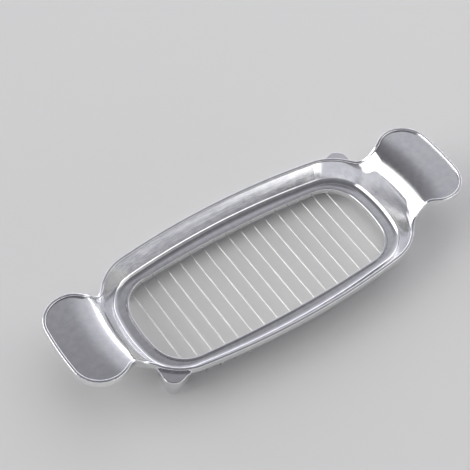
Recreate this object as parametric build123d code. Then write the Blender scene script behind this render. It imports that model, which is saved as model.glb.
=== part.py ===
from build123d import *
import math
import os

# Wire butter slicer: one cast frame with a dish-shaped ring, two wing handles and a splayed foot at two
# opposite corners, and a row of taut wires across its opening. Each wire is held under the ring by a
# crimped stop at either end. X runs from handle to handle and the wires run along Y. The feet and the
# keeper rails under the ring stand on Z = 0.

# ---- driving dimensions, millimetres and degrees ----

# wires
WIRE_COUNT = 17
WIRE_PITCH = 6.35
WIRE_DIAMETER = 0.6
WIRE_CLEARANCE = 0.04

# crimped wire stops
STOP_WALL = 0.46
STOP_LENGTH = 2.4
STOP_CHAMFER = 0.2
STOP_CLEARANCE = 0.05
CRIMP_WIDTH = 0.8
CRIMP_DEPTH = 0.2

# opening that the wires cross, a rectangle with bowed sides and round corners
OPENING_END_GAP = 7.5
OPENING_HALF_WIDTH = 23.8
OPENING_SIDE_RADIUS = 504.0
OPENING_END_RADIUS = 58.5
OPENING_CORNER_RADIUS = 15.0

# raised lip round the opening
LIP_WIDTH = 1.3
LIP_HEIGHT = 0.6
LIP_LAND = 0.3

# dish floor round the opening
FLOOR_SIDE_WIDTH = 5.0
FLOOR_END_WIDTH = 5.9

# dish outline, also a bowed rectangle, which runs on under the handles
DISH_SIDE_RADIUS = 348.0
DISH_END_RADIUS = 67.3
DISH_CORNER_RADIUS = 23.5
DISH_DEPTH = 9.2

# casting walls
WALL = 2.1
WALL_SLOPE = 61.0
WALL_FOOT_RADIUS = 3.0
SHOULDER_RADIUS = 13.4

# raised bead along the outer edge
BEAD_WIDTH = 1.3
BEAD_LAND = 0.4
BEAD_STEP = 1.1
HANDLE_BEAD_HEIGHT = 0.9
NECK_BEAD_HEIGHT = 0.5

# wing handles, and the climb of the rim from the dish to them
HANDLE_REACH = 26.3
HANDLE_RISE = 8.6
HANDLE_HALF_WIDTH = 22.2
HANDLE_CORNER_RADIUS = 12.6
HANDLE_TIP_RADIUS = 135.0
NECK_RADIUS = 8.0
CLIMB_SETBACK = 8.0
CLIMB_LENGTH = 17.0
CLIMB_SLOPE = 52.0

# keeper rails under the long sides, which the wires are strung through
RAIL_SETBACK = 2.0
RAIL_WIDTH = 2.0
RAIL_SKIRT = 2.25
RAIL_OVERHANG = 3.0
SEAT_MARGIN = 0.3
SEAT_DEPTH = 0.2
SLOT_CLEARANCE = 0.05

# feet
FOOT_DIRECTION = 52.0
FOOT_DROP = 1.8
FOOT_REACH = 5.2
FOOT_INSET = 3.5
FOOT_BASE_HALF_WIDTH = 6.6
FOOT_NOSE_HALF_WIDTH = 3.8
FOOT_SOLE_HALF_WIDTH = 2.2
FOOT_SOLE_LENGTH = 5.6
FOOT_CORNER_RADIUS = 3.0
FOOT_ROUND = 0.5

# ---- worked out from the driving dimensions ----

# heights above the soles
STOP_DIAMETER = WIRE_DIAMETER + 2 * WIRE_CLEARANCE + 2 * STOP_WALL
FLOOR_BOTTOM = RAIL_SKIRT + STOP_DIAMETER + STOP_CLEARANCE
FLOOR_TOP = FLOOR_BOTTOM + WALL
RIM_TOP = FLOOR_TOP + DISH_DEPTH
HANDLE_RIM_TOP = RIM_TOP + HANDLE_RISE
PLATE_TOP = HANDLE_RIM_TOP - HANDLE_BEAD_HEIGHT
WIRE_Z = FLOOR_BOTTOM - STOP_CLEARANCE - STOP_DIAMETER / 2
FOOT_TOP = RIM_TOP - FOOT_DROP

# plan
WALL_RUN = BEAD_WIDTH + (DISH_DEPTH - BEAD_STEP) / math.tan(math.radians(WALL_SLOPE))
OPENING_HALF_LENGTH = (WIRE_COUNT - 1) / 2 * WIRE_PITCH + OPENING_END_GAP
DISH_HALF_LENGTH = OPENING_HALF_LENGTH + FLOOR_END_WIDTH + WALL_RUN
DISH_HALF_WIDTH = OPENING_HALF_WIDTH + FLOOR_SIDE_WIDTH + WALL_RUN
HALF_LENGTH = DISH_HALF_LENGTH + HANDLE_REACH
CLIMB_START = DISH_HALF_LENGTH - CLIMB_SETBACK
SEAT_HALF_WIDTH = STOP_DIAMETER / 2 + SEAT_MARGIN

# rounds
BEAD_ROUND = (BEAD_WIDTH - BEAD_LAND) / 2
LIP_ROUND = (LIP_WIDTH - LIP_LAND) / 2

# ends of cutting solids, clear of the casting, and the distance at which points count as touching
CUT_TOP = HANDLE_RIM_TOP + WALL
CUT_BOTTOM = -WALL
TOUCH = 0.001


def circle_crossing(centre_a, radius_a, centre_b, radius_b):
    """The crossing of two circles that lies on the left when looking from centre a to centre b."""
    dx, dy = centre_b[0] - centre_a[0], centre_b[1] - centre_a[1]
    distance = math.hypot(dx, dy)
    along = (radius_a**2 - radius_b**2 + distance**2) / (2 * distance)
    across = math.sqrt(radius_a**2 - along**2)
    ux, uy = dx / distance, dy / distance
    return (centre_a[0] + along * ux - across * uy, centre_a[1] + along * uy + across * ux)


def bearing(centre, point):
    """Direction from centre to point, in degrees."""
    return math.degrees(math.atan2(point[1] - centre[1], point[0] - centre[0]))


def polar(centre, radius, angle):
    """Point at a radius and an angle in degrees from a centre."""
    turn = math.radians(angle)
    return (centre[0] + radius * math.cos(turn), centre[1] + radius * math.sin(turn))


def arc(centre, radius, start, end):
    """Arc between two directions in degrees."""
    return ThreePointArc(*(polar(centre, radius, a) for a in (start, (start + end) / 2, end)))


def closed_face(quarter):
    """Face inside a quarter outline, given as edges from the Y axis to the X axis, and its mirrors."""
    half = quarter + [edge.mirror(Plane.YZ) for edge in quarter]
    return make_face(half + [edge.mirror(Plane.XZ) for edge in half])


class Bowed:
    """Rectangle with bowed sides and ends and round corners, symmetric about both axes."""

    def __init__(self, half_length, half_width, side_radius, end_radius, corner_radius):
        self.sizes = (half_length, half_width, side_radius, end_radius, corner_radius)
        self.side_radius, self.end_radius, self.corner_radius = side_radius, end_radius, corner_radius
        self.side_centre = (0.0, half_width - side_radius)
        self.end_centre = (half_length - end_radius, 0.0)
        self.corner_centre = circle_crossing(
            self.end_centre, end_radius - corner_radius, self.side_centre, side_radius - corner_radius
        )
        self.corner_start = bearing(self.side_centre, self.corner_centre)
        self.corner_end = bearing(self.end_centre, self.corner_centre)

    def grown(self, by):
        """The same outline moved outwards by a distance."""
        return Bowed(*(size + by for size in self.sizes))

    def arcs(self):
        """The quarter from the Y axis to the X axis: centre, radius, start and end direction."""
        return [
            (self.side_centre, self.side_radius, 90.0, self.corner_start),
            (self.corner_centre, self.corner_radius, self.corner_start, self.corner_end),
            (self.end_centre, self.end_radius, self.corner_end, 0.0),
        ]

    def face(self):
        return closed_face([arc(*one) for one in self.arcs()])

    def half_width_at(self, x):
        """Half width of the outline at a place along its length."""
        if x < polar(self.corner_centre, self.corner_radius, self.corner_start)[0]:
            centre, radius = self.side_centre, self.side_radius
        else:
            centre, radius = self.corner_centre, self.corner_radius
        return centre[1] + math.sqrt(radius**2 - (x - centre[0]) ** 2)


DISH = Bowed(DISH_HALF_LENGTH, DISH_HALF_WIDTH, DISH_SIDE_RADIUS, DISH_END_RADIUS, DISH_CORNER_RADIUS)
WALL_FOOT = DISH.grown(-WALL_RUN)
OPENING = Bowed(
    OPENING_HALF_LENGTH, OPENING_HALF_WIDTH, OPENING_SIDE_RADIUS, OPENING_END_RADIUS, OPENING_CORNER_RADIUS
)
RAIL_OUTSIDE = OPENING.grown(RAIL_SETBACK + RAIL_WIDTH)


def plan_face(inset):
    """Whole plan of the frame, dish and handles, moved inwards by an inset."""
    dish_radius = DISH.corner_radius - inset
    neck_radius = NECK_RADIUS + inset
    handle_radius = HANDLE_CORNER_RADIUS - inset
    tip_radius = HANDLE_TIP_RADIUS - inset
    corner = DISH.corner_centre
    tip = (HALF_LENGTH - HANDLE_TIP_RADIUS, 0.0)
    handle_y = HANDLE_HALF_WIDTH - HANDLE_CORNER_RADIUS
    handle = (tip[0] + math.sqrt((tip_radius - handle_radius) ** 2 - handle_y**2), handle_y)
    neck = circle_crossing(corner, dish_radius + neck_radius, handle, neck_radius + handle_radius)
    return closed_face(
        [
            arc(DISH.side_centre, DISH.side_radius - inset, 90.0, DISH.corner_start),
            arc(corner, dish_radius, DISH.corner_start, bearing(corner, neck)),
            arc(neck, neck_radius, bearing(neck, corner), bearing(neck, handle)),
            arc(handle, handle_radius, bearing(handle, neck), bearing(tip, handle)),
            arc(tip, tip_radius, bearing(tip, handle), 0.0),
        ]
    )


def prism(face, bottom, top):
    """Solid with a plan face between two heights."""
    return extrude(Pos(0, 0, bottom) * face, amount=top - bottom, dir=(0, 0, 1))


def step_line(start, foot, head, end, slope, radii, drop):
    """Line that is level to foot, climbs to head and is level again, with round corners.

    It is moved down square to itself by drop.
    """
    shift = drop * math.tan(math.radians(slope) / 2)
    return FilletPolyline(
        (start, foot[1] - drop),
        (foot[0] + shift, foot[1] - drop),
        (head[0] + shift, head[1] - drop),
        (end, head[1] - drop),
        radius=[radii[0] + drop, radii[1] - drop],
    )


def face_to_height(line, height):
    """Face between a line and a height."""
    first, last = line @ 0, line @ 1
    sides = Polyline((last.X, last.Y), (last.X, height), (first.X, height), (first.X, first.Y))
    return make_face([*line.edges(), *sides.edges()])


def rim_line(drop):
    """Side view of the rim from the middle to beyond a handle, lowered by about drop square to itself."""
    slope = math.radians(CLIMB_SLOPE)
    shift = drop * math.tan(slope / 2)
    low, high = RIM_TOP - drop, HANDLE_RIM_TOP - drop
    start = CLIMB_START + shift
    end = start + CLIMB_LENGTH
    ease = CLIMB_LENGTH - (HANDLE_RIM_TOP - RIM_TOP) / math.tan(slope)
    level = Line((0.0, low), (start, low))
    climb = Bezier((start, low), (start + ease, low), (end - ease, high), (end, high))
    plate = Line((end, high), (HALF_LENGTH + WALL, high))
    return Wire([*level.edges(), *climb.edges(), *plate.edges()])


def under_rim(drop):
    """Everything below the rim line, moved down by drop."""
    section = Plane.XZ * face_to_height(rim_line(drop), CUT_BOTTOM)
    half = extrude(section, amount=DISH_HALF_WIDTH + WALL, both=True)
    return half + half.mirror(Plane.YZ)


def swept_wall(drop, far_height):
    """Solid between a far height and the dish's floor, wall, shoulder and handle level.

    The surface is moved down by drop. Its section turns about the centre of each arc of the wall's foot.
    """
    run = (PLATE_TOP - FLOOR_TOP) / math.tan(math.radians(WALL_SLOPE))
    radii = (WALL_FOOT_RADIUS, SHOULDER_RADIUS)
    inside = WALL_FOOT_RADIUS + WALL
    solid = prism(WALL_FOOT.grown(-inside).face(), *sorted((FLOOR_TOP - drop, far_height)))
    for centre, radius, start, end in WALL_FOOT.arcs():
        foot = (radius, FLOOR_TOP)
        head = (radius + run, PLATE_TOP)
        line = step_line(radius - inside, foot, head, radius + HALF_LENGTH / 2, WALL_SLOPE, radii, drop)
        out = polar((0.0, 0.0), 1.0, start)
        plane = Plane(origin=(*centre, 0), x_dir=(*out, 0), z_dir=(out[1], -out[0], 0))
        section = plane * face_to_height(line, far_height)
        sector = revolve(section, Axis((*centre, 0), (0, 0, -1)), revolution_arc=start - end)
        half = sector + sector.mirror(Plane.YZ)
        solid += half + half.mirror(Plane.XZ)
    return solid


def trapezoid(inner, nose, nose_half_width, flare):
    """Face that narrows along X, by flare on each side for each millimetre, to its nose."""
    inner_half_width = nose_half_width + flare * (nose - inner)
    corners = [
        (inner, -inner_half_width),
        (nose, -nose_half_width),
        (nose, nose_half_width),
        (inner, inner_half_width),
    ]
    return make_face(Polyline(*corners, close=True))


def foot():
    """One foot at the +X +Y corner: a ledge just under the rim bead that tapers down and in to its sole."""
    rim = DISH_CORNER_RADIUS
    inner = rim - FOOT_INSET
    flare = (FOOT_BASE_HALF_WIDTH - FOOT_NOSE_HALF_WIDTH) / FOOT_REACH
    ledge = trapezoid(inner, rim + FOOT_REACH, FOOT_NOSE_HALF_WIDTH, flare)
    sole = trapezoid(inner, inner + FOOT_SOLE_LENGTH, FOOT_SOLE_HALF_WIDTH, flare)
    leg = loft([sole, Pos(0, 0, FOOT_TOP) * ledge], ruled=True)
    nose_face = leg.faces().sort_by(Axis.X)[-1]
    upright = [edge for edge in nose_face.edges() if abs((edge @ 1).Z - (edge @ 0).Z) > FOOT_TOP / 2]
    leg = fillet(upright, FOOT_CORNER_RADIUS)
    leg = fillet(leg.faces().sort_by(Axis.Z)[-1].edges(), FOOT_ROUND)
    return Pos(*DISH.corner_centre, 0) * Rot(0, 0, FOOT_DIRECTION) * leg


def bead_edges(body):
    """Both top edges of the rim bead."""
    line = rim_line(0.0)
    top_faces = [
        face
        for face in body.faces()
        if all(line.distance_to(Vertex(abs(v.X), v.Z, 0)) < TOUCH for v in face.vertices())
    ]
    edges = [edge for face in top_faces for edge in face.edges()]
    return [edge for edge in edges if sum(edge.is_same(other) for other in edges) == 1]


def ring(inner, outer, bottom, top):
    """Ring between two outlines and two heights."""
    return prism(outer.face(), bottom, top) - prism(inner.face(), bottom, top)


def wire_places():
    """X of every wire."""
    return [(n - (WIRE_COUNT - 1) / 2) * WIRE_PITCH for n in range(WIRE_COUNT)]


def seat_y(x):
    """Distance of a stop's seat from the X axis."""
    return RAIL_OUTSIDE.half_width_at(abs(x) + SEAT_HALF_WIDTH) - SEAT_DEPTH


def keeper_rails():
    """Rails under both long sides, slotted for the wires and with a flat seat for each stop."""
    reach = wire_places()[-1] + RAIL_OVERHANG
    rails = ring(OPENING.grown(RAIL_SETBACK), RAIL_OUTSIDE, 0.0, FLOOR_BOTTOM + WALL / 2)
    return rails & Box(2 * reach, 2 * DISH_HALF_WIDTH, 2 * CUT_TOP)


def rail_cuts():
    """Slots for the wires and pockets for the stops, open at the bottom."""
    slot = WIRE_DIAMETER + 2 * SLOT_CLEARANCE
    slot_top = WIRE_Z + slot / 2
    pocket = RAIL_WIDTH + STOP_LENGTH
    cuts = []
    for x in wire_places():
        seat = seat_y(x)
        slot_box = Box(slot, 2 * seat, slot_top - CUT_BOTTOM)
        cuts.append(Pos(x, 0, (slot_top + CUT_BOTTOM) / 2) * slot_box)
        for side in (-1, 1):
            seat_box = Box(2 * SEAT_HALF_WIDTH, pocket, FLOOR_BOTTOM - CUT_BOTTOM)
            cuts.append(Pos(x, side * (seat + pocket / 2), (FLOOR_BOTTOM + CUT_BOTTOM) / 2) * seat_box)
    return cuts


def frame():
    """The cast frame."""
    body = prism(plan_face(0.0), CUT_BOTTOM, CUT_TOP) & under_rim(0.0)
    body -= swept_wall(WALL, CUT_BOTTOM) & under_rim(NECK_BEAD_HEIGHT + WALL)
    body += foot() + Rot(0, 0, 180) * foot()
    within_bead = prism(plan_face(BEAD_WIDTH), CUT_BOTTOM, CUT_TOP)
    hollow = within_bead & swept_wall(0.0, CUT_TOP)
    body -= hollow + (within_bead - under_rim(NECK_BEAD_HEIGHT))
    body = fillet(bead_edges(body), BEAD_ROUND)
    lip = ring(OPENING, OPENING.grown(LIP_WIDTH), FLOOR_BOTTOM, FLOOR_TOP + LIP_HEIGHT)
    lip = fillet(lip.faces().sort_by(Axis.Z)[-1].edges(), LIP_ROUND)
    body -= prism(OPENING.face(), CUT_BOTTOM, CUT_TOP)
    body += lip
    body += keeper_rails()
    return body - rail_cuts()


def wire(x):
    """One taut wire, flush with the far faces of its stops."""
    length = 2 * (seat_y(x) + STOP_LENGTH)
    return Pos(x, 0, WIRE_Z) * Rot(90, 0, 0) * Cylinder(WIRE_DIAMETER / 2, length)


def wire_stop():
    """Crimped stop along +Y from its seat, with a bore for the wire and a pinched waist."""
    radius = STOP_DIAMETER / 2
    stop = Cylinder(radius, STOP_LENGTH)
    stop = chamfer(stop.edges().filter_by(GeomType.CIRCLE), STOP_CHAMFER)
    for side in (-1, 1):
        dent = Box(CRIMP_DEPTH * 2, STOP_DIAMETER, CRIMP_WIDTH)
        stop -= Pos(side * radius, 0, 0) * dent
    stop -= Cylinder(WIRE_DIAMETER / 2 + WIRE_CLEARANCE, STOP_LENGTH)
    return Pos(0, STOP_LENGTH / 2, 0) * Rot(90, 0, 0) * stop


def stop_row(side):
    """Stops of all wires on one side, as separate solids."""
    row = [Pos(x, seat_y(x), WIRE_Z) * wire_stop() for x in wire_places()]
    stops = row if side > 0 else [stop.mirror(Plane.XZ) for stop in row]
    return Compound(children=stops)


def write(name, solid):
    """Write one node's STEP file."""
    export_step(solid, f"parts/{name}.step")


if __name__ == "__main__":
    os.makedirs("parts", exist_ok=True)
    write("frame", frame())
    for number, x in enumerate(wire_places(), start=1):
        write(f"wire_{number:02d}", wire(x))
    write("front_wire_stops", stop_row(-1))
    write("rear_wire_stops", stop_row(1))
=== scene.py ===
import math

import bmesh
import bpy
from mathutils import Matrix, Vector


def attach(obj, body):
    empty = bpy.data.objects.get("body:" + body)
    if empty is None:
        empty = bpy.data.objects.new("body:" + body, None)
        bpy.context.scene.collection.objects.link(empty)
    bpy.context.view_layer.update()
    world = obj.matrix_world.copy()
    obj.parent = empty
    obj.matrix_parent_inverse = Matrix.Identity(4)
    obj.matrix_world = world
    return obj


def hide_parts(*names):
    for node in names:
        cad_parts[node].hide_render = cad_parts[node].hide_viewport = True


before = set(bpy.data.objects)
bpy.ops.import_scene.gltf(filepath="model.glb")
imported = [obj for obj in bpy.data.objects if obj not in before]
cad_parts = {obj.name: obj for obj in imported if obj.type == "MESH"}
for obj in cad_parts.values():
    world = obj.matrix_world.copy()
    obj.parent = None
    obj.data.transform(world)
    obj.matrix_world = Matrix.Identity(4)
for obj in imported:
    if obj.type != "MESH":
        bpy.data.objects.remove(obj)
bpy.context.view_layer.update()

# Looks of a wire butter slicer. The cast frame's necks, shoulders and feet are rounded on a merged copy of
# its own mesh, Geometry Nodes set a crimped sleeve on each wire's end, and the wires keep their CAD shape.

MM = 0.001
BODY = "root"

# ---- driving dimensions of the casting, millimetres and degrees ----

# wires, and the opening that they cross, which is a rectangle with bowed sides and round corners
WIRE_COUNT = 17
WIRE_PITCH = 6.35
WIRE_Z = 3.05
OPENING_END_GAP = 7.5
OPENING_HALF_WIDTH = 23.8
OPENING_SIDE_RADIUS = 504.0
OPENING_END_RADIUS = 58.5
OPENING_CORNER_RADIUS = 15.0

# dish, whose outline is a bowed rectangle too
FLOOR_TOP = 6.0
FLOOR_SIDE_WIDTH = 5.0
FLOOR_END_WIDTH = 5.9
DISH_DEPTH = 9.2
DISH_SIDE_RADIUS = 348.0
DISH_END_RADIUS = 67.3
DISH_CORNER_RADIUS = 23.5
WALL_SLOPE = 61.0
WALL_FOOT_RADIUS = 3.0
SHOULDER_RADIUS = 13.4

# raised bead along the rim, and the rim's climb from the dish to a handle
BEAD_WIDTH = 1.3
BEAD_STEP = 1.1
NECK_BEAD_HEIGHT = 0.5
HANDLE_BEAD_HEIGHT = 0.9
HANDLE_RISE = 8.6
CLIMB_SETBACK = 8.0
CLIMB_LENGTH = 17.0
CLIMB_SLOPE = 52.0

# feet
FOOT_BEARING = 52.0
FOOT_DROP = 1.8
FOOT_REACH = 5.2
FOOT_NOSE_HALF_WIDTH = 3.8
FOOT_BASE_HALF_WIDTH = 6.6

# seats of the sleeves in the keeper rails
RAIL_REACH = 4.0
SEAT_MARGIN = 0.3
SEAT_DEPTH = 0.2

# ---- roundings of the casting, millimetres ----

# blend where the dish wall runs into the neck: depth, the lengths over which it fades in and out, and the
# widths over which it fades in
BLEND_DEPTH = 2.6
BLEND_RISE = (59.0, 66.0)
BLEND_FALL = (69.0, 75.5)
BLEND_SIDE = (8.0, 14.0)

# the shoulder eased into a handle plate: how far back it starts, its length, and where it fades out below
EASE_BACK = 4.0
EASE_LENGTH = 9.0
EASE_FADE = 10.0

# how far a foot's nose falls back at its corners
NOSE_ROUNDING = 1.3

# part of the hollow that is made finer, how near to the hollow a point has to be, and the length over which
# an edge is cut
FINE_REGION = (56.0, 97.0)
ON_SURFACE = 0.05
FINE_EDGE = 0.7

# rounds of cutting at the necks and at the feet, halvings in the search for a place on the climb's curve,
# and how far to either side of a place its normal is taken
NECK_PASSES = 6
FOOT_PASSES = 4
HALVINGS = 30
NORMAL_STEP = 0.02

# least upward part of the normal of a face of the hollow, and the sizes in metres under which doubles and
# slivers are merged
FACING_UP = 0.1
MERGE_DISTANCE = 1e-6
SLIVER = 4e-6

# ---- crimped sleeves, millimetres and degrees ----

# outside and bore radius, length, and rounding of the ends
SLEEVE_RADIUS = 0.8
SLEEVE_BORE = 0.34
SLEEVE_LENGTH = 2.4
SLEEVE_EDGE = 0.17
SLEEVE_EDGE_STEPS = 4

# length of a face, and faces round the sleeve
SLEEVE_FACE_LENGTH = 0.12
SLEEVE_SEGMENTS = 28

# dents of the crimping tool
CRIMP_HALF_LENGTH = 0.42
CRIMP_SOFTNESS = 0.12
CRIMP_DEPTH = 0.21

# most that a sleeve is turned either way on its wire, and the seed of the turns
SLEEVE_TURN = 38.0
SLEEVE_SEED = 5

# ---- finishes ----

# patterns: size of a blotch in metres, and how many finer layers it holds
CASTING_WAVES = (0.012, 1.0)
CASTING_MOTTLE = (0.0028, 4.0)
CASTING_GRAIN = (0.0004, 3.0)
POLISHING_STROKES = (0.0006, 3.0)
WIRE_LINES = (0.00008, 2.0)
WIRE_HANDLING = (0.006, 2.0)
SLEEVE_SCUFFS = (0.0007, 4.0)

# how much a pattern is drawn out along X, Y and Z
EVEN = (1.0, 1.0, 1.0)
ALONG_CASTING = (40.0, 1.0, 1.0)
ALONG_WIRE = (1.0, 400.0, 1.0)

# parts of a pattern's range over which a finish goes from one end to the other
WIDE = (0.3, 0.7)
NARROW = (0.35, 0.65)
STRONG = (0.4, 0.7)

# reach in metres within which a crevice gets its painted shade or an edge its wear polish and painted
# highlight, and how open the surface is where its mark starts and where the mark is at its fullest
OPENNESS_SAMPLES = 6
CASTING_CREVICE = (0.0011, (0.78, 0.3))
CASTING_EDGE = (0.001, (0.75, 0.35))
SLEEVE_CREVICE = (0.0006, (0.8, 0.35))

# upward part of the normal where the satin underside starts and where it is at its fullest
UNDERSIDE = (-0.15, -0.5)

# colours of the bare metals: duller and brighter blotches, then what lies over them; the crevice colours
# are painted shade
ALUMINIUM_DULL = (0.83, 0.835, 0.85)
ALUMINIUM_BRIGHT = (0.9, 0.9, 0.9)
ALUMINIUM_SATIN = (0.74, 0.74, 0.75)
# colour of worn, polished edges, brightened further as a painted highlight on the bead
ALUMINIUM_EDGE_WEAR_AND_HIGHLIGHT = (0.97, 0.97, 0.965)
ALUMINIUM_CREVICE_SHADE = (0.36, 0.36, 0.38)
WIRE_DULL = (0.84, 0.83, 0.81)
WIRE_BRIGHT = (0.95, 0.94, 0.92)
SLEEVE_DULL = (0.6, 0.59, 0.58)
SLEEVE_BRIGHT = (0.74, 0.73, 0.72)
SLEEVE_CREVICE_SHADE = (0.25, 0.24, 0.23)
CREVICE_SHADE_COVER = 0.7

# roughness, from the one end of a pattern to the other, and what strokes, crevices and satin add to it
ALUMINIUM_ROUGHNESS = (0.125, 0.14)
WIRE_ROUGHNESS = (0.16, 0.3)
SLEEVE_ROUGHNESS = (0.26, 0.46)
STROKE_ROUGHNESS = 0.05
CREVICE_ROUGHNESS = 0.18
SATIN_ROUGHNESS = 0.2

# depth of the bumps in metres, and how much of the grain is left where the casting is polished
WAVE_DEPTH = 8e-6
MOTTLE_DEPTH = 2e-6
STROKE_DEPTH = 9e-7
GRAIN_DEPTH = 2e-5
GRAIN_LEFT = 0.1
LINE_DEPTH = 8e-7
SCUFF_DEPTH = 1e-5

# ---- camera and studio, metres and degrees, with the sensor and the lens in millimetres ----
SENSOR_WIDTH = 36.0
LENS = 101.1
CLIP = (0.01, 20.0)
CAMERA_ELEVATION = 52.65
CAMERA_ROLL = 5.32
CAMERA_DISTANCE = 0.5743

# how the slicer lies on the table that the camera looks at
SLICER_TURN = 38.75
SLICER_PLACE = (0.01177, -0.02179, 0.0)

# plain floor, and the light on it
FLOOR_SIZE = 4.0
FLOOR_COLOUR = (0.68, 0.68, 0.67, 1.0)
FLOOR_ROUGHNESS = 0.6
TABLE_LIGHT_BEARING = 150.0
TABLE_LIGHT_ELEVATION = 66.0
TABLE_LIGHT_DISTANCE = 1.7
TABLE_LIGHT_SIZE = (3.0, 2.6)
TABLE_LIGHT_WATTS = 16.5

# studio walls and ceiling: angle from the far horizon, over the top, to the camera's side, and brightness
WALL_LEVELS = (
    (0.0, 2.8),
    (12.0, 2.2),
    (20.0, 0.8),
    (34.0, 0.57),
    (46.0, 0.5),
    (50.0, 0.455),
    (57.0, 0.28),
    (66.0, 0.2),
    (80.0, 0.145),
    (110.0, 0.15),
    (140.0, 0.22),
    (158.0, 0.34),
    (166.0, 0.6),
    (180.0, 0.66),
)
WALL_COOLNESS = 1.09

# soft boxes: bearing of the middle, from the camera's side and turning to the right, and half width; lowest
# and highest height on the unit sphere; brightness; and softness of the low and the high edge
WHITE_BOX = {
    "bearing": -82.0,
    "half_width": 34.0,
    "heights": (0.2, 0.72),
    "level": 3.2,
    "softness": (0.035, 0.11),
}
PALE_BOX = {
    "bearing": 88.0,
    "half_width": 17.0,
    "heights": (0.0, 0.7),
    "level": 0.72,
    "softness": (0.035, 0.05),
}
LOW_STRIP = {
    "bearing": 72.0,
    "half_width": 34.0,
    "heights": (0.05, 0.22),
    "level": 2.2,
    "softness": (0.03, 0.05),
}
BOX_SIDE_SOFTNESS = 5.0


def bowed_corner(half_length, half_width, side_radius, end_radius, corner_radius):
    """Centre of the round corner between a bowed side and a bowed end of an outline."""
    end_x, side_y = half_length - end_radius, half_width - side_radius
    to_end, to_side = end_radius - corner_radius, side_radius - corner_radius
    apart = math.hypot(end_x, side_y)
    along = (to_end**2 - to_side**2 + apart**2) / (2 * apart)
    across = math.sqrt(to_end**2 - along**2)
    return (end_x - (along * end_x + across * side_y) / apart, (along * side_y - across * end_x) / apart)


# ---- worked out from the driving dimensions ----

# heights
RIM_TOP = FLOOR_TOP + DISH_DEPTH
HANDLE_TOP = RIM_TOP + HANDLE_RISE
PLATE_TOP = HANDLE_TOP - HANDLE_BEAD_HEIGHT
NECK_LOW = RIM_TOP - NECK_BEAD_HEIGHT
NECK_HIGH = HANDLE_TOP - NECK_BEAD_HEIGHT
FOOT_TOP = RIM_TOP - FOOT_DROP

# level width of the dish wall up to the rim, and of the same slope up to a handle plate
RIM_RUN = BEAD_WIDTH + (DISH_DEPTH - BEAD_STEP) / math.tan(math.radians(WALL_SLOPE))
PLATE_RUN = (PLATE_TOP - FLOOR_TOP) / math.tan(math.radians(WALL_SLOPE))

# plan of opening, rails and dish
OPENING_HALF_LENGTH = (WIRE_COUNT - 1) / 2 * WIRE_PITCH + OPENING_END_GAP
DISH_HALF_LENGTH = OPENING_HALF_LENGTH + FLOOR_END_WIDTH + RIM_RUN
DISH_HALF_WIDTH = OPENING_HALF_WIDTH + FLOOR_SIDE_WIDTH + RIM_RUN
DISH_END_X = DISH_HALF_LENGTH - DISH_END_RADIUS
DISH_CORNER = bowed_corner(
    DISH_HALF_LENGTH, DISH_HALF_WIDTH, DISH_SIDE_RADIUS, DISH_END_RADIUS, DISH_CORNER_RADIUS
)
DISH_CORNER_BEARING = math.atan2(DISH_CORNER[1], DISH_CORNER[0] - DISH_END_X)
RAIL_SIDE_CENTRE = (0.0, OPENING_HALF_WIDTH - OPENING_SIDE_RADIUS)
RAIL_SIDE_RADIUS = OPENING_SIDE_RADIUS + RAIL_REACH
RAIL_CORNER_CENTRE = bowed_corner(
    OPENING_HALF_LENGTH, OPENING_HALF_WIDTH, OPENING_SIDE_RADIUS, OPENING_END_RADIUS, OPENING_CORNER_RADIUS
)
RAIL_CORNER_RADIUS = OPENING_CORNER_RADIUS + RAIL_REACH
RAIL_CORNER_START_X = RAIL_CORNER_CENTRE[0] * RAIL_SIDE_RADIUS / (RAIL_SIDE_RADIUS - RAIL_CORNER_RADIUS)
SEAT_HALF_WIDTH = SLEEVE_RADIUS + SEAT_MARGIN

# surface just under the bead, where it starts to climb, and how far its curve eases in and out
CLIMB_START = DISH_HALF_LENGTH - CLIMB_SETBACK + NECK_BEAD_HEIGHT * math.tan(math.radians(CLIMB_SLOPE) / 2)
CLIMB_EASE = CLIMB_LENGTH - HANDLE_RISE / math.tan(math.radians(CLIMB_SLOPE))

# the studio stands round a table point; this turns it so that the slicer is at the origin, unturned
STUDIO = Matrix.Rotation(-math.radians(SLICER_TURN), 4, "Z") @ Matrix.Translation(-Vector(SLICER_PLACE))


def new_material(name):
    """A node material with an empty tree but for its Principled shader and output."""
    material = bpy.data.materials.new(name)
    material.use_nodes = True
    return material, material.node_tree, material.node_tree.nodes["Principled BSDF"]


def fill(tree, socket, value):
    """Links another node's output to a socket, or sets a plain value on it."""
    if isinstance(value, bpy.types.NodeSocket):
        tree.links.new(value, socket)
    else:
        socket.default_value = value


def math_node(tree, operation, *values):
    """Output of a Math node whose inputs are sockets or numbers."""
    node = tree.nodes.new("ShaderNodeMath")
    node.operation = operation
    for socket, value in zip(node.inputs, values):
        fill(tree, socket, value)
    return node.outputs["Value"]


def smooth_range(tree, value, ends, results=(0.0, 1.0)):
    """A value eased from one result to the other as the input goes from one end to the other."""
    node = tree.nodes.new("ShaderNodeMapRange")
    node.interpolation_type = "SMOOTHSTEP"
    node.inputs["From Min"].default_value, node.inputs["From Max"].default_value = ends
    node.inputs["To Min"].default_value, node.inputs["To Max"].default_value = results
    tree.links.new(value, node.inputs["Value"])
    return node.outputs["Result"]


def blend_colour(tree, share, first, second):
    """Colour that goes from the first to the second; each is a socket or a colour."""
    mix = tree.nodes.new("ShaderNodeMixRGB")
    tree.links.new(share, mix.inputs["Fac"])
    for socket, colour in ((mix.inputs["Color1"], first), (mix.inputs["Color2"], second)):
        fill(tree, socket, (*colour, 1.0) if isinstance(colour, tuple) else colour)
    return mix.outputs["Color"]


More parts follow.
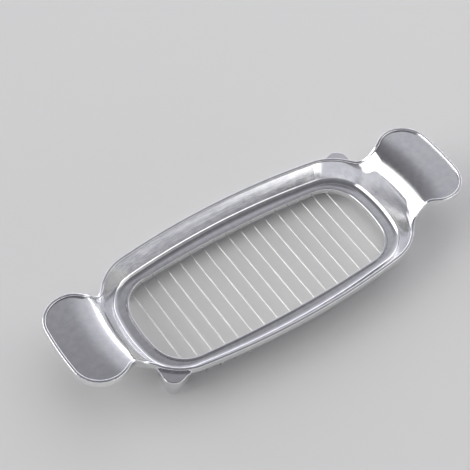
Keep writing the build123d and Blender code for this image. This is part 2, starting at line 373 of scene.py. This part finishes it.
def pattern(tree, size, detail, stretch=EVEN):
    """Noise with blotches of a size in metres, drawn out along the object's axes."""
    place = tree.nodes.new("ShaderNodeTexCoord")
    spread = tree.nodes.new("ShaderNodeMapping")
    spread.inputs["Scale"].default_value = [1.0 / (size * factor) for factor in stretch]
    tree.links.new(place.outputs["Object"], spread.inputs["Vector"])
    noise = tree.nodes.new("ShaderNodeTexNoise")
    noise.inputs["Scale"].default_value = 1.0
    noise.inputs["Detail"].default_value = detail
    tree.links.new(spread.outputs["Vector"], noise.inputs["Vector"])
    return noise.outputs["Fac"]


def add_bump(tree, height, depth, before=None):
    """Normal raised by a height map of a depth in metres, on top of an earlier normal."""
    bump = tree.nodes.new("ShaderNodeBump")
    bump.inputs["Distance"].default_value = depth
    tree.links.new(height, bump.inputs["Height"])
    if before is not None:
        tree.links.new(before, bump.inputs["Normal"])
    return bump.outputs["Normal"]


def nearness(tree, reach, openness, inside=False):
    """Share from 0 to 1 of how near the surface is to a crevice or, looked at from inside, to an edge."""
    opening = tree.nodes.new("ShaderNodeAmbientOcclusion")
    opening.samples = OPENNESS_SAMPLES
    opening.only_local = True
    opening.inside = inside
    opening.inputs["Distance"].default_value = reach
    return smooth_range(tree, opening.outputs["AO"], openness)


def cast_aluminium():
    """Cast aluminium, hand polished on top and left satin underneath."""
    material, tree, shader = new_material("polished_cast_aluminium")
    link = tree.links.new
    waves = pattern(tree, *CASTING_WAVES)
    mottle = pattern(tree, *CASTING_MOTTLE)
    grain = pattern(tree, *CASTING_GRAIN)
    strokes = pattern(tree, *POLISHING_STROKES, ALONG_CASTING)

    facing = tree.nodes.new("ShaderNodeNewGeometry")
    upright = tree.nodes.new("ShaderNodeSeparateXYZ")
    link(facing.outputs["Normal"], upright.inputs["Vector"])
    under = smooth_range(tree, upright.outputs["Z"], UNDERSIDE)
    # painted shade: share of how closed in the surface is, in grooves and crevices
    crevice_shade = nearness(tree, *CASTING_CREVICE)
    # edges found from inside: wear polish together with a painted highlight on the bead
    edge = nearness(tree, *CASTING_EDGE, inside=True)

    metal = blend_colour(tree, smooth_range(tree, mottle, WIDE), ALUMINIUM_DULL, ALUMINIUM_BRIGHT)
    metal = blend_colour(tree, under, metal, ALUMINIUM_SATIN)
    # brightens convex edges: wear polish and a painted highlight
    metal = blend_colour(tree, edge, metal, ALUMINIUM_EDGE_WEAR_AND_HIGHLIGHT)
    # darkens grooves and crevices with painted shade
    metal = blend_colour(tree, math_node(tree, "MULTIPLY", crevice_shade, CREVICE_SHADE_COVER), metal, ALUMINIUM_CREVICE_SHADE)
    link(metal, shader.inputs["Base Color"])
    shader.inputs["Metallic"].default_value = 1.0

    roughness = smooth_range(tree, mottle, WIDE, ALUMINIUM_ROUGHNESS)
    for extra in (
        smooth_range(tree, strokes, STRONG, (0.0, STROKE_ROUGHNESS)),
        math_node(tree, "MULTIPLY", crevice_shade, CREVICE_ROUGHNESS),
        math_node(tree, "MULTIPLY", under, SATIN_ROUGHNESS),
    ):
        roughness = math_node(tree, "ADD", roughness, extra)
    link(roughness, shader.inputs["Roughness"])

    grain_share = smooth_range(tree, under, (0.0, 1.0), (GRAIN_LEFT, 1.0))
    satin_grain = math_node(tree, "MULTIPLY", grain, grain_share)
    normal = add_bump(tree, waves, WAVE_DEPTH)
    normal = add_bump(tree, mottle, MOTTLE_DEPTH, normal)
    normal = add_bump(tree, strokes, STROKE_DEPTH, normal)
    normal = add_bump(tree, satin_grain, GRAIN_DEPTH, normal)
    link(normal, shader.inputs["Normal"])
    return material


def drawn_wire():
    """Bright stainless wire with the fine lengthwise lines of the drawing die."""
    material, tree, shader = new_material("drawn_steel_wire")
    lines = pattern(tree, *WIRE_LINES, ALONG_WIRE)
    handling = smooth_range(tree, pattern(tree, *WIRE_HANDLING), NARROW)
    tree.links.new(blend_colour(tree, handling, WIRE_DULL, WIRE_BRIGHT), shader.inputs["Base Color"])
    shader.inputs["Metallic"].default_value = 1.0
    tree.links.new(smooth_range(tree, lines, WIDE, WIRE_ROUGHNESS), shader.inputs["Roughness"])
    tree.links.new(add_bump(tree, lines, LINE_DEPTH), shader.inputs["Normal"])
    return material


def crimped_steel():
    """Satin steel sleeve, with painted shade in the dents of the crimping tool and its other crevices."""
    material, tree, shader = new_material("crimped_steel")
    scuffs = pattern(tree, *SLEEVE_SCUFFS)
    # painted shade in the crimp dents and the sleeve's other crevices
    crevice_shade = math_node(tree, "MULTIPLY", nearness(tree, *SLEEVE_CREVICE), CREVICE_SHADE_COVER)
    steel = blend_colour(tree, smooth_range(tree, scuffs, NARROW), SLEEVE_DULL, SLEEVE_BRIGHT)
    tree.links.new(blend_colour(tree, crevice_shade, steel, SLEEVE_CREVICE_SHADE), shader.inputs["Base Color"])
    shader.inputs["Metallic"].default_value = 1.0
    tree.links.new(smooth_range(tree, scuffs, WIDE, SLEEVE_ROUGHNESS), shader.inputs["Roughness"])
    tree.links.new(add_bump(tree, scuffs, SCUFF_DEPTH), shader.inputs["Normal"])
    return material


def set_material(obj, material):
    """Gives a whole piece one material."""
    obj.data.materials.clear()
    obj.data.materials.append(material)


def smooth_share(value, ends):
    """Share from 0 to 1 of the way between two ends, eased at both."""
    share = min(max((value - ends[0]) / (ends[1] - ends[0]), 0.0), 1.0)
    return share * share * (3.0 - 2.0 * share)


def from_wall_foot(x, y):
    """Distance outwards from the foot of the dish wall, at a place near a dish end."""
    corner_x, corner_y = DISH_CORNER
    if math.atan2(y - corner_y, x - corner_x) > DISH_CORNER_BEARING:
        return math.hypot(x - corner_x, y - corner_y) - DISH_CORNER_RADIUS + RIM_RUN
    return math.hypot(x - DISH_END_X, y) - DISH_END_RADIUS + RIM_RUN


def wall_height(out):
    """Height of the dish's floor, wall, shoulder and handle plate at a distance from the wall's foot."""
    slope = math.radians(WALL_SLOPE)
    foot = WALL_FOOT_RADIUS * math.tan(slope / 2)
    shoulder = SHOULDER_RADIUS * math.tan(slope / 2)
    if out < -foot:
        return FLOOR_TOP
    if out < foot * math.cos(slope):
        return FLOOR_TOP + WALL_FOOT_RADIUS - math.sqrt(WALL_FOOT_RADIUS**2 - (out + foot) ** 2)
    if out < PLATE_RUN - shoulder * math.cos(slope):
        return FLOOR_TOP + out * math.tan(slope)
    if out < PLATE_RUN + shoulder:
        left = PLATE_RUN + shoulder - out
        return PLATE_TOP - SHOULDER_RADIUS + math.sqrt(SHOULDER_RADIUS**2 - left**2)
    return PLATE_TOP


def eased_wall_height(out):
    """Height of the wall with its shoulder eased into the handle plate, as hand polishing leaves it."""
    start = PLATE_RUN + SHOULDER_RADIUS * math.tan(math.radians(WALL_SLOPE) / 2) - EASE_BACK
    slope = EASE_BACK / math.sqrt(SHOULDER_RADIUS**2 - EASE_BACK**2)
    depth = slope * EASE_LENGTH / 3
    if out < start:
        drop = depth - (PLATE_TOP - wall_height(start))
        return wall_height(out) - drop * smooth_share(out, (start - EASE_FADE, start))
    left = max(1.0 - (out - start) / EASE_LENGTH, 0.0)
    return PLATE_TOP - depth * left**3


def neck_height(x):
    """Height of the surface just under the bead: level, a cubic curve up to the handle, and level again."""
    if x <= CLIMB_START:
        return NECK_LOW
    if x >= CLIMB_START + CLIMB_LENGTH:
        return NECK_HIGH
    low, high = 0.0, 1.0
    for _ in range(HALVINGS):
        share = (low + high) / 2
        eases = (1 - share) * CLIMB_EASE + share * (CLIMB_LENGTH - CLIMB_EASE)
        if 3 * (1 - share) * share * eases + share**3 * CLIMB_LENGTH < x - CLIMB_START:
            low = share
        else:
            high = share
    return NECK_LOW + (NECK_HIGH - NECK_LOW) * smooth_share(share, (0.0, 1.0))


def raw_hollow_height(x, y):
    """Height of the hollow with a sharp crease between wall and neck."""
    return min(wall_height(from_wall_foot(abs(x), abs(y))), neck_height(abs(x)))


def hollow_height(x, y):
    """Height of the finished hollow, with the crease between wall and neck rounded."""
    x, y = abs(x), abs(y)
    wall, neck = eased_wall_height(from_wall_foot(x, y)), neck_height(x)
    depth = BLEND_DEPTH * smooth_share(x, BLEND_RISE) * smooth_share(y, BLEND_SIDE)
    depth *= 1.0 - smooth_share(x, BLEND_FALL)
    if depth <= 0.0:
        return min(wall, neck)
    share = max(depth - abs(wall - neck), 0.0) / depth
    return min(wall, neck) - share * share * depth / 4


def hollow_normal(x, y):
    """Unit normal of the finished hollow."""
    along = hollow_height(x + NORMAL_STEP, y) - hollow_height(x - NORMAL_STEP, y)
    across = hollow_height(x, y + NORMAL_STEP) - hollow_height(x, y - NORMAL_STEP)
    return Vector((-along, -across, 2 * NORMAL_STEP)).normalized()


def in_fine_region(vert):
    """Whether a vertex lies far enough along the casting to be at a neck or a handle."""
    return FINE_REGION[0] < abs(vert.co.x / MM) < FINE_REGION[1]


def on_hollow(vert):
    """Whether a vertex lies on the surface of a dish end, neck or handle plate."""
    x, y, z = vert.co / MM
    return abs(x) > DISH_CORNER[0] and abs(z - raw_hollow_height(x, y)) < ON_SURFACE


def merged_form(mesh):
    """The mesh with its doubles merged, and each face corner's normal kept in a layer."""
    form = bmesh.new()
    form.from_mesh(mesh)
    kept = form.loops.layers.float_vector.new("kept_normal")
    normals = [tuple(normal.vector) for normal in mesh.corner_normals]
    for face, polygon in zip(form.faces, mesh.polygons):
        for loop, index in zip(face.loops, polygon.loop_indices):
            loop[kept] = normals[index]
    bmesh.ops.remove_doubles(form, verts=form.verts, dist=MERGE_DISTANCE)
    return form, kept


def marked_edges(form, mark):
    """The edges of the marked faces, in the form's own order."""
    return [edge for edge in form.edges if any(face[mark] for face in edge.link_faces)]


def make_triangles(form):
    """Cuts every face with more than three corners into triangles."""
    bmesh.ops.triangulate(form, faces=[face for face in form.faces if len(face.verts) > 3])


def make_finer(form, mark, passes):
    """Cuts the long edges of the marked faces, and clears the slivers that this leaves."""
    for _ in range(passes):
        edges = [edge for edge in marked_edges(form, mark) if edge.is_manifold]
        long_edges = [edge for edge in edges if edge.calc_length() > FINE_EDGE * MM]
        bmesh.ops.subdivide_edges(form, edges=long_edges, cuts=1)
        make_triangles(form)
    bmesh.ops.dissolve_degenerate(form, dist=SLIVER, edges=marked_edges(form, mark))
    make_triangles(form)


def round_necks(form, kept):
    """Makes the hollow's faces fine at both necks and rounds its creases there."""
    mark = form.faces.layers.int.new("hollow")
    hollow_verts = {vert for vert in form.verts if on_hollow(vert) and in_fine_region(vert)}
    for face in form.faces:
        if face.normal.z > FACING_UP and hollow_verts.issuperset(face.verts):
            face[mark] = 1
    make_finer(form, mark, NECK_PASSES)
    for vert in {vert for face in form.faces if face[mark] for vert in face.verts}:
        if in_fine_region(vert):
            x, y = vert.co.x / MM, vert.co.y / MM
            vert.co.z = hollow_height(x, y) * MM
            normal = hollow_normal(x, y)
            for loop in vert.link_loops:
                if loop.face[mark]:
                    loop[kept] = normal
    form.faces.layers.int.remove(mark)


def foot_place(vert):
    """A vertex seen from its foot, in millimetres out, aside and up, and the turn that leads back."""
    side = math.copysign(1.0, vert.co.x)
    flip = Matrix.Diagonal((side, side, 1.0))
    turn = flip @ Matrix.Rotation(math.radians(FOOT_BEARING), 3, "Z")
    centre = flip @ Vector((*DISH_CORNER, 0.0))
    return turn.transposed() @ (vert.co / MM - centre), turn


def on_foot(vert):
    """Whether a vertex lies on a foot, outside the rim's round corner."""
    out, aside, up = foot_place(vert)[0]
    return out > DISH_CORNER_RADIUS and abs(aside) < FOOT_BASE_HALF_WIDTH and up < FOOT_TOP + ON_SURFACE


def bow_foot(vert, kept):
    """Moves a foot's vertex back towards the rim, the further aside the more, and turns its normals."""
    place, turn = foot_place(vert)
    reach = place.x - DISH_CORNER_RADIUS
    bow = NOSE_ROUNDING / FOOT_REACH * (place.y / FOOT_NOSE_HALF_WIDTH) ** 2
    lean = 2.0 * reach * bow / place.y if place.y else 0.0
    vert.co -= turn @ Vector((reach * bow * MM, 0.0, 0.0))
    for loop in vert.link_loops:
        normal = turn.transposed() @ loop[kept]
        normal.x /= 1.0 - bow
        normal.y += lean * normal.x
        loop[kept] = (turn @ normal).normalized()


def round_feet(form, kept):
    """Bows each foot's nose, so that its ledge ends in a curve."""
    mark = form.faces.layers.int.new("foot")
    for face in form.faces:
        face[mark] = int(all(on_foot(vert) for vert in face.verts))
    make_finer(form, mark, FOOT_PASSES)
    form.faces.layers.int.remove(mark)
    for vert in form.verts:
        if on_foot(vert):
            bow_foot(vert, kept)


def cast_frame(material):
    """The casting's own surface, with necks, handle shoulders and feet rounded as the cast ones are."""
    form, kept = merged_form(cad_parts["frame"].data)
    round_necks(form, kept)
    round_feet(form, kept)
    mesh = bpy.data.meshes.new("cast_frame")
    form.to_mesh(mesh)
    form.free()
    normals = [tuple(value.vector) for value in mesh.attributes["kept_normal"].data]
    mesh.attributes.remove(mesh.attributes["kept_normal"])
    mesh.shade_smooth()
    mesh.normals_split_custom_set(normals)
    casting = bpy.data.objects.new("cast_frame", mesh)
    bpy.context.scene.collection.objects.link(casting)
    set_material(casting, material)
    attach(casting, BODY)
    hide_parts("frame")


def tree_node(tree, kind, inputs, **settings):
    """A node with its settings and inputs filled in, each input by its name or its place."""
    node = tree.nodes.new(kind)
    for name, value in settings.items():
        setattr(node, name, value)
    for name, value in inputs.items():
        fill(tree, node.inputs[name], value)
    return node


def arc_distance(tree, beyond, centre, radius):
    """Distance from the X axis of a rail's arc, at a distance along X, less the depth of a seat."""
    along = math_node(tree, "POWER", math_node(tree, "SUBTRACT", beyond, centre[0] * MM), 2.0)
    reach = math_node(tree, "SQRT", math_node(tree, "SUBTRACT", (radius * MM) ** 2, along))
    return math_node(tree, "ADD", reach, (centre[1] - SEAT_DEPTH) * MM)


def seat_distance(tree, across):
    """Distance from the X axis of the seat that a sleeve stands on, at a wire's X."""
    beyond = math_node(tree, "ADD", math_node(tree, "ABSOLUTE", across), SEAT_HALF_WIDTH * MM)
    choice = {
        "Switch": math_node(tree, "GREATER_THAN", beyond, RAIL_CORNER_START_X * MM),
        "False": arc_distance(tree, beyond, RAIL_SIDE_CENTRE, RAIL_SIDE_RADIUS),
        "True": arc_distance(tree, beyond, RAIL_CORNER_CENTRE, RAIL_CORNER_RADIUS),
    }
    return tree_node(tree, "GeometryNodeSwitch", choice, input_type="FLOAT").outputs[0]


def plain_sleeve(tree, given):
    """A tube along Y with a bore and rounded ends."""
    wall = math_node(tree, "SUBTRACT", given["Sleeve radius"], given["Bore radius"])
    both = math_node(tree, "ADD", given["Sleeve radius"], given["Bore radius"])
    box = {"Width": wall, "Height": given["Sleeve length"]}
    section = tree_node(tree, "GeometryNodeCurvePrimitiveQuadrilateral", box)
    corners = {"Curve": section.outputs[0], "Radius": SLEEVE_EDGE * MM, "Count": SLEEVE_EDGE_STEPS}
    rounded = tree_node(tree, "GeometryNodeFilletCurve", corners, mode="POLY")
    steps = {"Curve": rounded.outputs[0], "Length": SLEEVE_FACE_LENGTH * MM}
    points = tree_node(tree, "GeometryNodeResampleCurve", steps, mode="LENGTH")
    ring = {"Resolution": SLEEVE_SEGMENTS, "Radius": math_node(tree, "DIVIDE", both, 2.0)}
    path = tree_node(tree, "GeometryNodeCurvePrimitiveCircle", ring, mode="RADIUS")
    curves = {"Curve": path.outputs[0], "Profile Curve": points.outputs[0]}
    tube = tree_node(tree, "GeometryNodeCurveToMesh", curves)
    laid = {"Geometry": tube.outputs[0], "Rotation": (math.pi / 2, 0.0, 0.0)}
    return tree_node(tree, "GeometryNodeTransform", laid).outputs[0]


def crimped_sleeve(tree, given):
    """The tube with a dent of the crimping tool pressed into either side of its middle."""
    here = tree.nodes.new("GeometryNodeInputPosition").outputs[0]
    place = tree_node(tree, "ShaderNodeSeparateXYZ", {"Vector": here}).outputs
    ends = ((CRIMP_HALF_LENGTH + CRIMP_SOFTNESS) * MM, (CRIMP_HALF_LENGTH - CRIMP_SOFTNESS) * MM)
    middle = smooth_range(tree, math_node(tree, "ABSOLUTE", place["Y"]), ends)
    dent = math_node(tree, "MULTIPLY", middle, given["Crimp depth"])
    most = math_node(tree, "SUBTRACT", given["Sleeve radius"], dent)
    least = math_node(tree, "MULTIPLY", most, -1.0)
    pressed = math_node(tree, "MAXIMUM", math_node(tree, "MINIMUM", place["X"], most), least)
    moved = tree_node(tree, "ShaderNodeCombineXYZ", {"X": pressed, "Y": place["Y"], "Z": place["Z"]})
    crimped = {"Geometry": plain_sleeve(tree, given), "Position": moved.outputs[0]}
    return tree_node(tree, "GeometryNodeSetPosition", crimped).outputs[0]


def seat_places(tree, given):
    """The place of each sleeve's middle, from the wires' number and pitch."""
    number = tree.nodes.new("GeometryNodeInputIndex").outputs[0]
    half = math_node(tree, "MULTIPLY", math_node(tree, "SUBTRACT", given["Wire count"], 1.0), 0.5)
    across = math_node(tree, "MULTIPLY", math_node(tree, "SUBTRACT", number, half), given["Wire pitch"])
    half_sleeve = math_node(tree, "DIVIDE", given["Sleeve length"], 2.0)
    out = math_node(tree, "ADD", seat_distance(tree, across), half_sleeve)
    aside = math_node(tree, "MULTIPLY", out, given["Side"])
    place = {"X": across, "Y": aside, "Z": given["Wire height"]}
    return tree_node(tree, "ShaderNodeCombineXYZ", place).outputs[0]


def sleeve_tree(material):
    """Geometry nodes that put a crimped sleeve on the end of each wire, along one side of the casting."""
    tree = bpy.data.node_groups.new("crimped_sleeves", "GeometryNodeTree")
    for name, kind, value in (
        ("Side", "NodeSocketFloat", 1.0),
        ("Wire count", "NodeSocketInt", WIRE_COUNT),
        ("Wire pitch", "NodeSocketFloat", WIRE_PITCH * MM),
        ("Wire height", "NodeSocketFloat", WIRE_Z * MM),
        ("Sleeve length", "NodeSocketFloat", SLEEVE_LENGTH * MM),
        ("Sleeve radius", "NodeSocketFloat", SLEEVE_RADIUS * MM),
        ("Bore radius", "NodeSocketFloat", SLEEVE_BORE * MM),
        ("Crimp depth", "NodeSocketFloat", CRIMP_DEPTH * MM),
        ("Largest turn", "NodeSocketFloat", math.radians(SLEEVE_TURN)),
        ("Seed", "NodeSocketInt", SLEEVE_SEED),
    ):
        tree.interface.new_socket(name, in_out="INPUT", socket_type=kind).default_value = value
    tree.interface.new_socket("Geometry", in_out="OUTPUT", socket_type="NodeSocketGeometry")
    given = tree.nodes.new("NodeGroupInput").outputs

    row = tree_node(tree, "GeometryNodeMeshLine", {"Count": given["Wire count"]})
    places = {"Geometry": row.outputs[0], "Position": seat_places(tree, given)}
    seats = tree_node(tree, "GeometryNodeSetPosition", places)

    # the random node's inputs 2 and 3 are its lowest and highest number, and its output 1 is the number
    least = math_node(tree, "MULTIPLY", given["Largest turn"], -1.0)
    turns = {2: least, 3: given["Largest turn"], "Seed": given["Seed"]}
    turn = tree_node(tree, "FunctionNodeRandomValue", turns, data_type="FLOAT")
    spin = tree_node(tree, "ShaderNodeCombineXYZ", {"Y": turn.outputs[1]})

    copies = {
        "Points": seats.outputs[0],
        "Instance": crimped_sleeve(tree, given),
        "Rotation": spin.outputs[0],
    }
    sleeves = tree_node(tree, "GeometryNodeInstanceOnPoints", copies)
    real = tree_node(tree, "GeometryNodeRealizeInstances", {"Geometry": sleeves.outputs[0]})
    steel = {"Geometry": real.outputs[0], "Material": material}
    finished = tree_node(tree, "GeometryNodeSetMaterial", steel)
    tree_node(tree, "NodeGroupOutput", {"Geometry": finished.outputs[0]})
    return tree


def sleeve_row(name, tree, side, seed, node):
    """The sleeves along one side, made a plain mesh in place of their CAD node."""
    row = bpy.data.objects.new(name, bpy.data.meshes.new(name))
    bpy.context.scene.collection.objects.link(row)
    modifier = row.modifiers.new(name, "NODES")
    modifier.node_group = tree
    sockets = {item.name: item.identifier for item in tree.interface.items_tree if item.in_out == "INPUT"}
    modifier[sockets["Side"]] = side
    modifier[sockets["Seed"]] = seed
    depsgraph = bpy.context.evaluated_depsgraph_get()
    mesh = bpy.data.meshes.new_from_object(row.evaluated_get(depsgraph), depsgraph=depsgraph)
    row.modifiers.clear()
    row.data = mesh
    mesh.shade_smooth()
    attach(row, BODY)
    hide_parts(node)


def add_camera():
    """A camera that looks down on the table from the near side."""
    data = bpy.data.cameras.new("camera")
    data.sensor_width = SENSOR_WIDTH
    data.lens = LENS
    data.clip_start, data.clip_end = CLIP
    camera = bpy.data.objects.new("camera", data)
    bpy.context.scene.collection.objects.link(camera)
    tilt = Matrix.Rotation(math.radians(90.0 - CAMERA_ELEVATION), 4, "X")
    roll = Matrix.Rotation(math.radians(CAMERA_ROLL), 4, "Z")
    camera.matrix_world = STUDIO @ tilt @ Matrix.Translation((0.0, 0.0, CAMERA_DISTANCE)) @ roll
    bpy.context.scene.camera = camera


def add_table_light():
    """A wide soft light for the table, which the metal doesn't mirror."""
    data = bpy.data.lights.new("table_light", "AREA")
    data.shape = "RECTANGLE"
    data.size, data.size_y = TABLE_LIGHT_SIZE
    data.energy = TABLE_LIGHT_WATTS
    light = bpy.data.objects.new("table_light", data)
    bpy.context.scene.collection.objects.link(light)
    turn = Matrix.Rotation(math.radians(TABLE_LIGHT_BEARING), 4, "Z")
    tilt = Matrix.Rotation(math.radians(90.0 - TABLE_LIGHT_ELEVATION), 4, "X")
    light.matrix_world = STUDIO @ turn @ tilt @ Matrix.Translation((0.0, 0.0, TABLE_LIGHT_DISTANCE))
    light.visible_glossy = False


def add_floor():
    """A plain pale floor."""
    bpy.ops.mesh.primitive_plane_add(size=FLOOR_SIZE)
    floor = bpy.context.object
    floor.name = "floor"
    material, _, shader = new_material("pale_floor")
    shader.inputs["Base Color"].default_value = FLOOR_COLOUR
    shader.inputs["Roughness"].default_value = FLOOR_ROUGHNESS
    set_material(floor, material)


def soft_box(tree, direction, background, bearing, half_width, heights, level, softness):
    """The background with a soft-edged light box in front of it."""
    around = math_node(tree, "ARCTAN2", direction["X"], math_node(tree, "MULTIPLY", direction["Y"], -1.0))
    aside = math_node(tree, "ABSOLUTE", math_node(tree, "SUBTRACT", around, math.radians(bearing)))
    side_ends = (half_width + BOX_SIDE_SOFTNESS, half_width - BOX_SIDE_SOFTNESS)
    mask = smooth_range(tree, aside, tuple(math.radians(end) for end in side_ends))
    for edge, soft in zip(heights, (softness[0], -softness[1])):
        within = smooth_range(tree, direction["Z"], (edge - soft, edge + soft))
        mask = math_node(tree, "MULTIPLY", mask, within)
    return blend_colour(tree, mask, background, (level, level, level))


def wall_ramp(tree, climb):
    """Colour of the studio walls and ceiling by the angle up from the far horizon, in radians."""
    walls = tree.nodes.new("ShaderNodeValToRGB")
    stops = walls.color_ramp.elements
    for angle, _ in WALL_LEVELS[1:-1]:
        stops.new(math.radians(angle) / math.pi)
    for stop, (_, level) in zip(stops, WALL_LEVELS):
        stop.color = (level, level, level * WALL_COOLNESS, 1.0)
    tree.links.new(math_node(tree, "DIVIDE", climb, math.pi), walls.inputs["Fac"])
    return walls.outputs["Color"]


def add_world():
    """Studio walls, a white soft box on the left, and a pale one and a low strip on the right."""
    world = bpy.data.worlds.new("studio")
    bpy.context.scene.world = world
    world.use_nodes = True
    tree = world.node_tree

    place = tree.nodes.new("ShaderNodeTexCoord")
    turn = tree.nodes.new("ShaderNodeVectorRotate")
    turn.rotation_type = "Z_AXIS"
    turn.inputs["Angle"].default_value = math.radians(SLICER_TURN)
    tree.links.new(place.outputs["Generated"], turn.inputs["Vector"])
    direction = tree_node(tree, "ShaderNodeSeparateXYZ", {"Vector": turn.outputs["Vector"]}).outputs

    studio = wall_ramp(tree, math_node(tree, "ARCTAN2", direction["Z"], direction["Y"]))
    for box in (WHITE_BOX, PALE_BOX, LOW_STRIP):
        studio = soft_box(tree, direction, studio, **box)
    tree.links.new(studio, tree.nodes["Background"].inputs["Color"])


aluminium = cast_aluminium()
wire_steel = drawn_wire()
sleeve_steel = crimped_steel()
finishes = {"frame": aluminium, "front_wire_stops": sleeve_steel, "rear_wire_stops": sleeve_steel}
for name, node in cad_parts.items():
    set_material(node, finishes.get(name, wire_steel))
cast_frame(aluminium)
sleeves = sleeve_tree(sleeve_steel)
sleeve_row("front_sleeves", sleeves, -1.0, SLEEVE_SEED, "front_wire_stops")
sleeve_row("rear_sleeves", sleeves, 1.0, SLEEVE_SEED + 1, "rear_wire_stops")

add_camera()
add_world()
add_floor()
add_table_light()

bpy.context.scene.view_settings.view_transform = "Standard"
